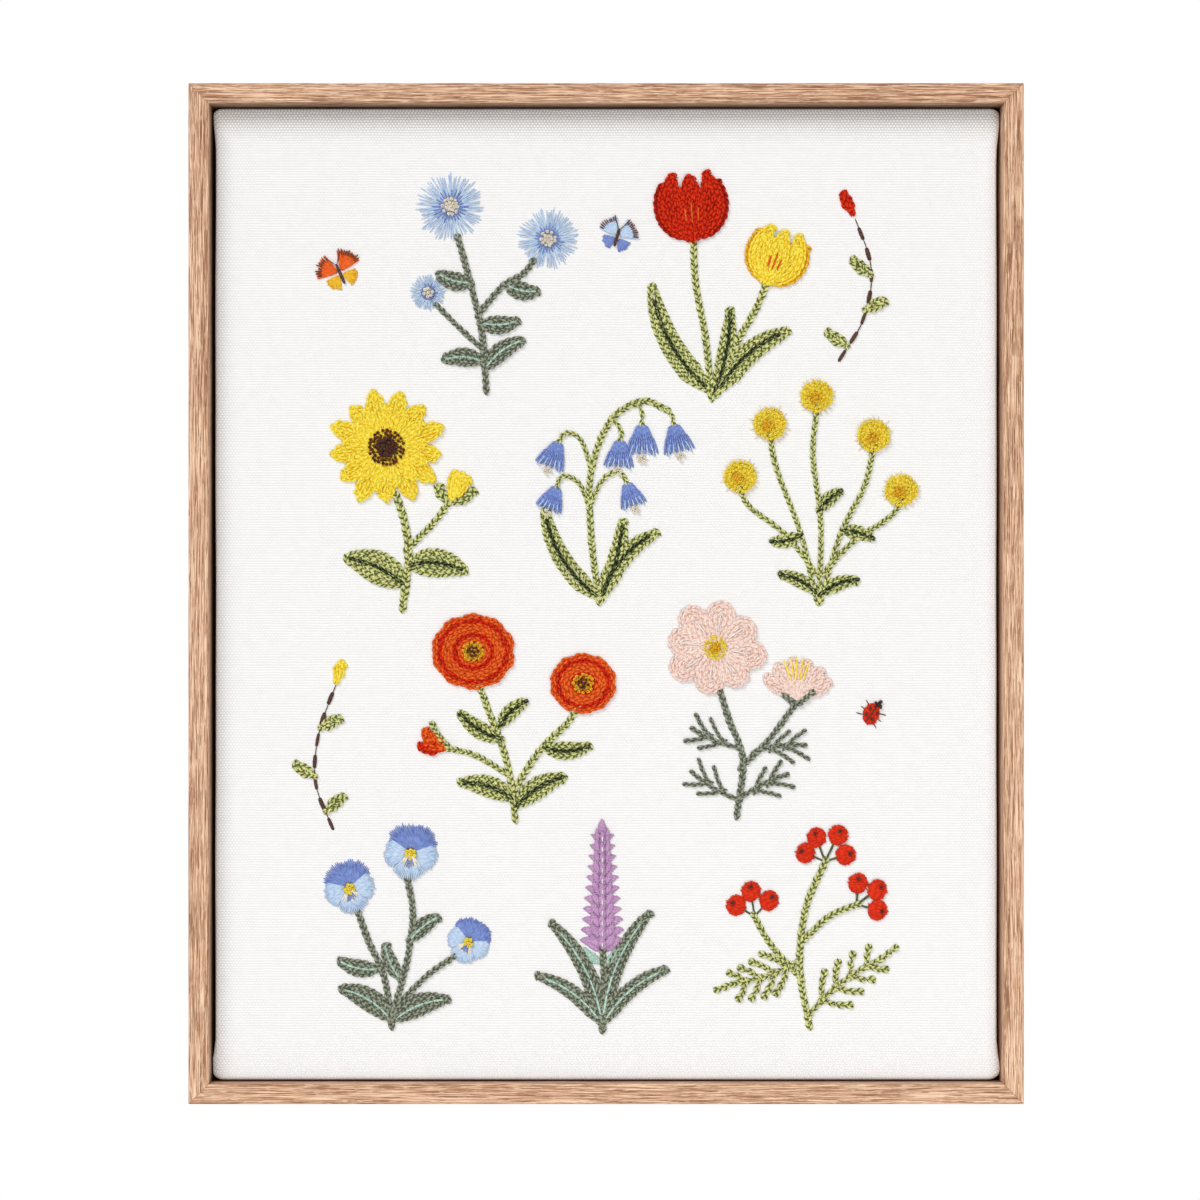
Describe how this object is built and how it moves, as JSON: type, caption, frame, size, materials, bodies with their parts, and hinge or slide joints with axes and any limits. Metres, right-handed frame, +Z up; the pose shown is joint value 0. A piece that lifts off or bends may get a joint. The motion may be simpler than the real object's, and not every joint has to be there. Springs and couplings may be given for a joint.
{
  "type": "framed embroidery panel",
  "caption": "Embroidered canvas stretched over plain bars and set back in a thin wooden floating frame, to hang on a wall.",
  "frame": {"origin": "on the wall side, in the middle of the back face of the top rail", "axes": "+Z up, +Y towards the wall, so the embroidered front faces -Y; +X to the right as seen from the front"},
  "size_m": [0.4572, 0.035, 0.5588],
  "materials": {
    "frame_wood": "fine straight grain, warm tan, satin",
    "canvas": "ribbed off-white cotton canvas with coloured yarn embroidery",
    "stretcher_wood": "plain planed softwood, unfinished"
  },
  "bodies": {
    "root": {"rail_top": "frame_wood", "rail_right": "frame_wood", "rail_bottom": "frame_wood", "rail_left": "frame_wood", "bar_top": "stretcher_wood", "bar_right": "stretcher_wood", "bar_bottom": "stretcher_wood", "bar_left": "stretcher_wood", "cloth": "canvas"}
  },
  "joints": []
}
